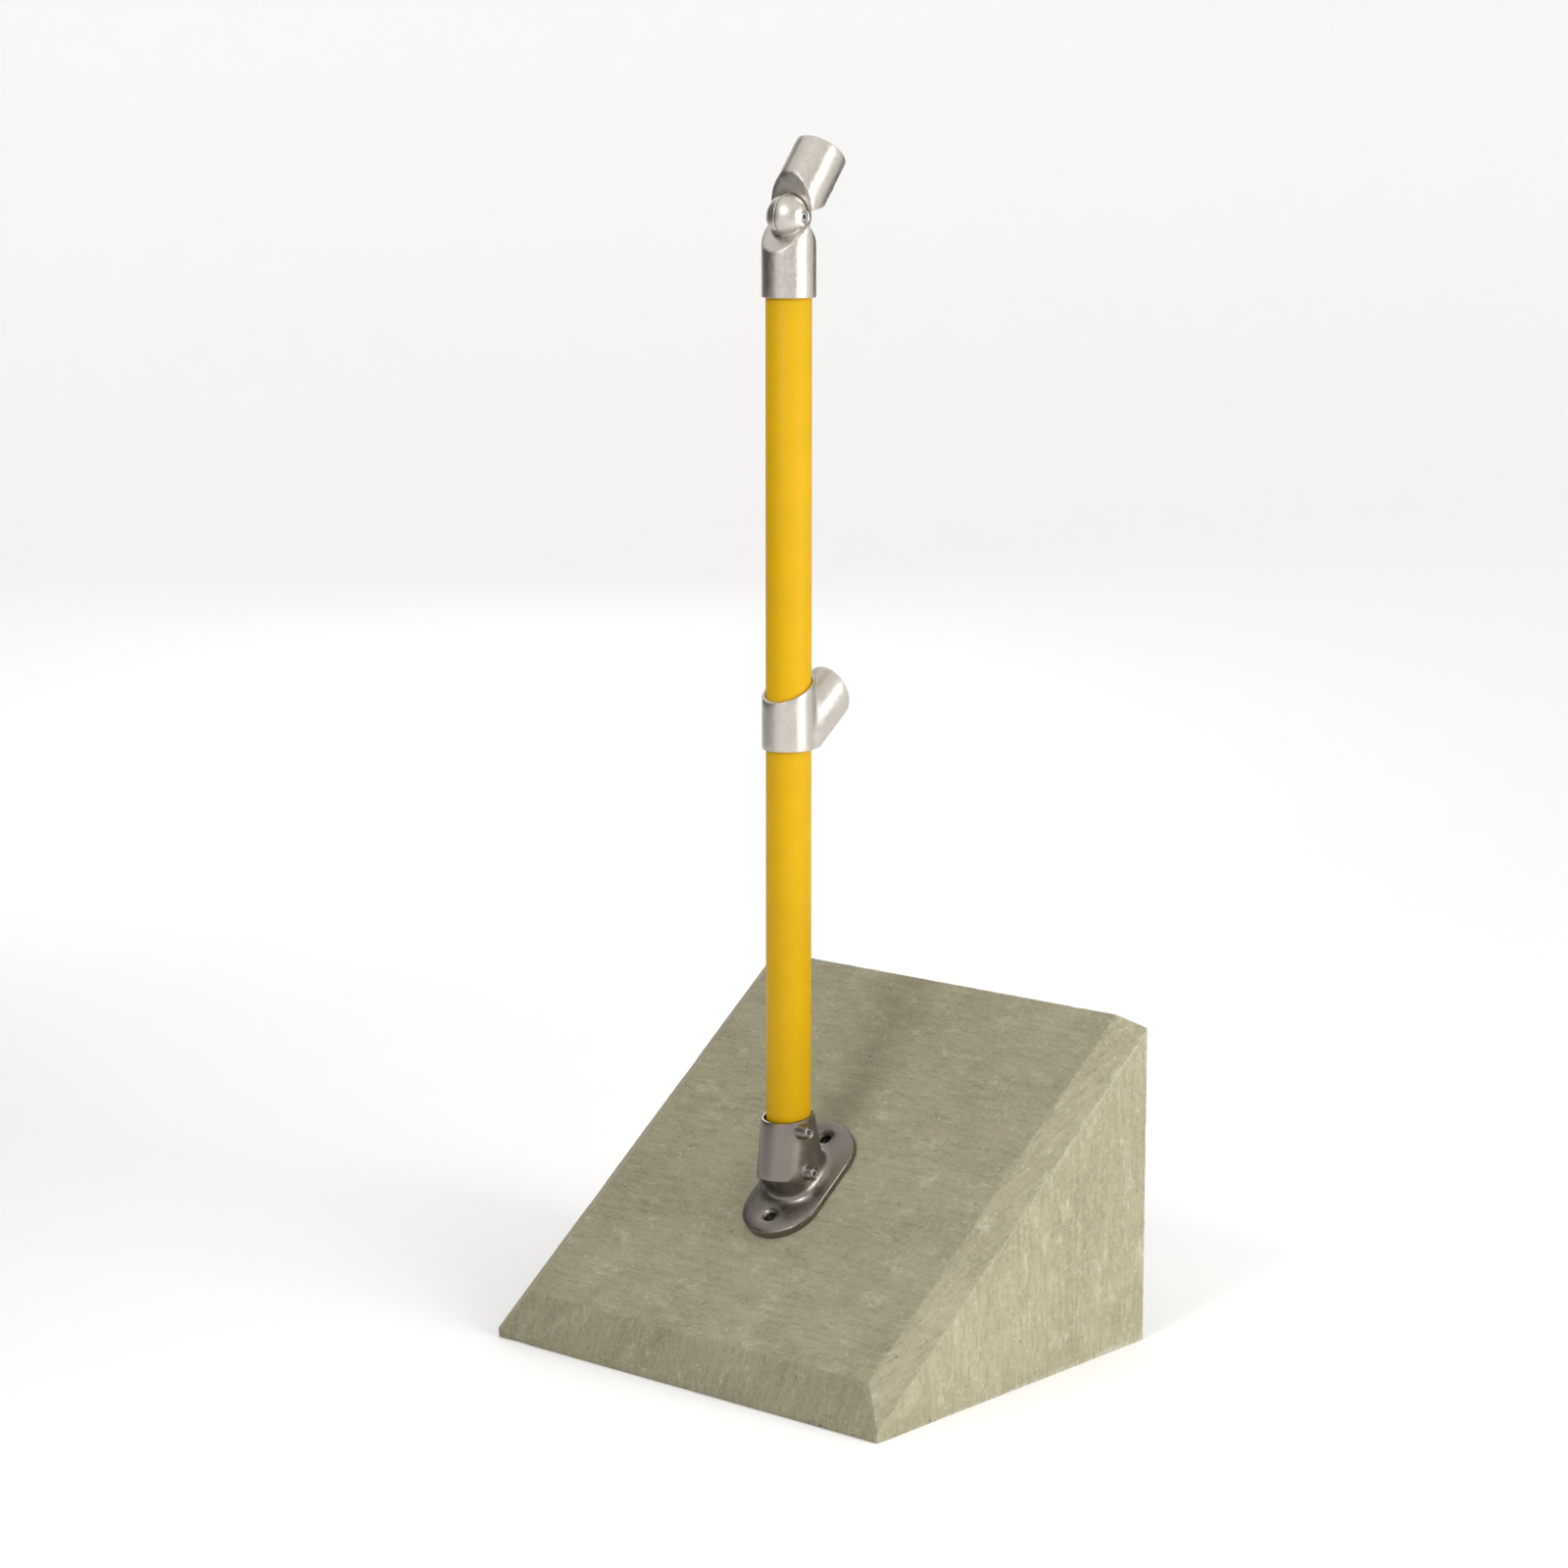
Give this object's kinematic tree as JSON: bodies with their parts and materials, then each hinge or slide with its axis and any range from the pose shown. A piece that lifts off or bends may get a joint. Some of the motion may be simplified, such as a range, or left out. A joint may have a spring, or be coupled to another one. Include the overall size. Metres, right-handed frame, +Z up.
{
  "type": "precast concrete wedge barrier block with guardrail post",
  "caption": "Bevelled concrete wedge block carrying a yellow tube post on an angle flange, with a mid-rail socket and a swivelling top-rail socket.",
  "frame": {"origin": "centre of the block's footprint, on the ground", "axes": "+Z up, +X across the block, +Y towards its high back"},
  "size_m": [0.538, 0.453, 1.2975],
  "materials": {
    "concrete": "cast concrete, fine grain",
    "rebar": "mill scale",
    "post_paint": "satin powder coat",
    "casting": "satin galvanised casting",
    "screw_steel": "bright plated"
  },
  "bodies": {
    "block": {"concrete_block": "concrete", "stirrups": "rebar", "long_bars": "rebar", "anchor_sleeve_lower": "screw_steel", "anchor_sleeve_upper": "screw_steel", "anchor_cone_lower": "screw_steel", "anchor_cone_upper": "screw_steel", "base_flange": "casting"},
    "post": {"post_tube": "post_paint"},
    "base_screw_upper": {"base_screw_upper": "screw_steel"},
    "base_screw_lower": {"base_screw_lower": "screw_steel"},
    "midrail": {"midrail_fitting": "casting"},
    "midrail_post_screw": {"midrail_post_screw": "screw_steel"},
    "midrail_rail_screw": {"midrail_rail_screw": "screw_steel"},
    "lower_knuckle": {"lower_knuckle": "casting", "pivot_bolt": "screw_steel", "pivot_nut": "screw_steel", "pivot_washer": "screw_steel"},
    "lower_knuckle_screw": {"lower_knuckle_screw": "screw_steel"},
    "upper_knuckle": {"upper_knuckle": "casting"},
    "upper_knuckle_screw": {"upper_knuckle_screw": "screw_steel"}
  },
  "joints": [
    {"name": "post_tilt", "type": "hinge", "parent": "block", "child": "post", "pos_m": [0, -0.053, 0.258], "axis": [1, 0, 0], "range_deg": [-6, 6]},
    {"name": "midrail_slide", "type": "slide", "parent": "post", "child": "midrail", "axis": [0, 0, 1], "range_m": [-0.3, 0.3]},
    {"name": "knuckle_turn", "type": "hinge", "parent": "post", "child": "lower_knuckle", "pos_m": [0, -0.053, 1.15], "axis": [0, 0, 1], "continuous": true},
    {"name": "knuckle_tilt", "type": "hinge", "parent": "lower_knuckle", "child": "upper_knuckle", "pos_m": [0, -0.053, 1.2146], "axis": [-1, 0, 0], "range_deg": [-127.7, 52.3]},
    {"name": "base_screw_upper_out", "type": "slide", "parent": "block", "child": "base_screw_upper", "axis": [1, 0, 0], "range_m": [0, 0.008]},
    {"name": "base_screw_lower_out", "type": "slide", "parent": "block", "child": "base_screw_lower", "axis": [1, 0, 0], "range_m": [0, 0.008]},
    {"name": "midrail_post_screw_out", "type": "slide", "parent": "midrail", "child": "midrail_post_screw", "axis": [-1, 0, 0], "range_m": [0, 0.005]},
    {"name": "midrail_rail_screw_out", "type": "slide", "parent": "midrail", "child": "midrail_rail_screw", "axis": [-1, 0, 0], "range_m": [0, 0.005]},
    {"name": "lower_knuckle_screw_out", "type": "slide", "parent": "lower_knuckle", "child": "lower_knuckle_screw", "axis": [0, 1, 0], "range_m": [0, 0.006]},
    {"name": "upper_knuckle_screw_out", "type": "slide", "parent": "upper_knuckle", "child": "upper_knuckle_screw", "axis": [0, 0.7912, -0.6115], "range_m": [0, 0.006]}
  ]
}
